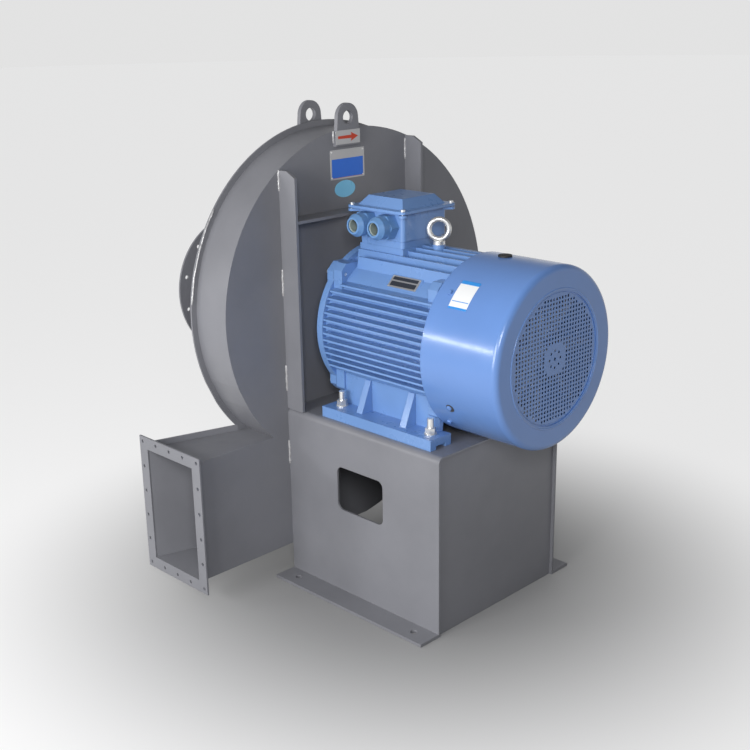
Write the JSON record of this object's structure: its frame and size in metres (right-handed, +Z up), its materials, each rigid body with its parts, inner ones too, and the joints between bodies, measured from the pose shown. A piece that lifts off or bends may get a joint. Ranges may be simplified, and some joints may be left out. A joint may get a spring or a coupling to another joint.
{
  "type": "high-pressure centrifugal blower",
  "caption": "Centrifugal blower: scroll casing with flanged inlet and low side outlet, driven directly by a finned foot-mounted motor on a plate pedestal.",
  "frame": {"origin": "on the floor, in the middle of the four anchor holes", "axes": "+X along the shaft from the casing to the motor's fan cowl, -Y out of the outlet, +Z up"},
  "size_m": [1.2015, 1.126, 1.26],
  "materials": {
    "casing_paint": "satin grey paint over welded steel plate",
    "motor_paint": "semi-gloss light blue paint over cast iron",
    "cowl_paint": "semi-gloss light blue paint over steel sheet",
    "gland_paint": "semi-gloss darker blue paint",
    "zinc": "bright zinc plating",
    "shaft_steel": "turned and ground steel",
    "lamination": "varnished lamination stack",
    "copper": "varnished copper windings",
    "fan_plastic": "light moulded plastic",
    "rubber": "black rubber",
    "board": "brown moulding compound"
  },
  "bodies": {
    "housing": {"pedestal_shell": "casing_paint", "pedestal_end_plate": "casing_paint", "rib_front": "casing_paint", "rib_rear": "casing_paint", "rib_bar": "casing_paint", "casing_back_plate": "casing_paint", "casing_inlet_plate": "casing_paint", "scroll_wrapper": "casing_paint", "outlet_flange": "casing_paint", "lifting_lug_motor_side": "casing_paint", "lifting_lug_inlet_side": "casing_paint", "shaft_seal": "casing_paint", "shaft_seal_screws": "zinc", "inlet_ring": "casing_paint", "inlet_ring_bolts": "zinc", "inlet_pipe": "casing_paint", "inlet_flange": "casing_paint", "inlet_cone": "casing_paint", "motor_frame": "motor_paint", "stator_core": "lamination", "stator_windings": "copper", "drive_end_shield": "motor_paint", "drive_end_cap": "motor_paint", "rear_end_shield": "motor_paint", "rear_end_cap": "motor_paint", "shield_bolts": "zinc", "drive_bearing_outer_ring": "shaft_steel", "rear_bearing_outer_ring": "shaft_steel", "fan_cowl": "cowl_paint", "cowl_grille": "cowl_paint", "cowl_screws": "cowl_paint", "cowl_plug": "rubber", "terminal_box_neck": "motor_paint", "terminal_box_body": "motor_paint", "terminal_box_gasket": "rubber", "terminal_box_lid": "motor_paint", "terminal_box_lid_screws": "zinc", "terminal_board": "board", "cable_glands": "gland_paint", "gland_locknuts": "zinc", "eyebolt": "zinc", "foot_bolts": "zinc", "foot_washers": "zinc", "foot_nuts": "zinc"},
    "rotor": {"impeller_back_disc": "casing_paint", "impeller_shroud": "casing_paint", "impeller_blades": "casing_paint", "impeller_hub": "casing_paint", "hub_bolts_set": "zinc", "impeller_key": "shaft_steel", "shaft_end_washer": "zinc", "shaft_end_bolt": "zinc", "motor_shaft": "shaft_steel", "rotor_core": "lamination", "drive_bearing_inner_ring": "shaft_steel", "rear_bearing_inner_ring": "shaft_steel", "cooling_fan": "fan_plastic"},
    "drive_bearing_cage": {"drive_bearing_balls": "shaft_steel"},
    "rear_bearing_cage": {"rear_bearing_balls": "shaft_steel"}
  },
  "joints": [
    {"name": "rotor_spin", "type": "hinge", "parent": "housing", "child": "rotor", "pos_m": [0, 0, 0.703], "axis": [1, 0, 0], "continuous": true},
    {"name": "drive_cage_spin", "type": "hinge", "parent": "housing", "child": "drive_bearing_cage", "pos_m": [0, 0, 0.703], "axis": [1, 0, 0], "continuous": true},
    {"name": "rear_cage_spin", "type": "hinge", "parent": "housing", "child": "rear_bearing_cage", "pos_m": [0, 0, 0.703], "axis": [1, 0, 0], "continuous": true}
  ],
  "couplings": [
    {"joint": "drive_cage_spin", "follows": "rotor_spin", "ratio": 0.3842},
    {"joint": "rear_cage_spin", "follows": "rotor_spin", "ratio": 0.3842}
  ]
}
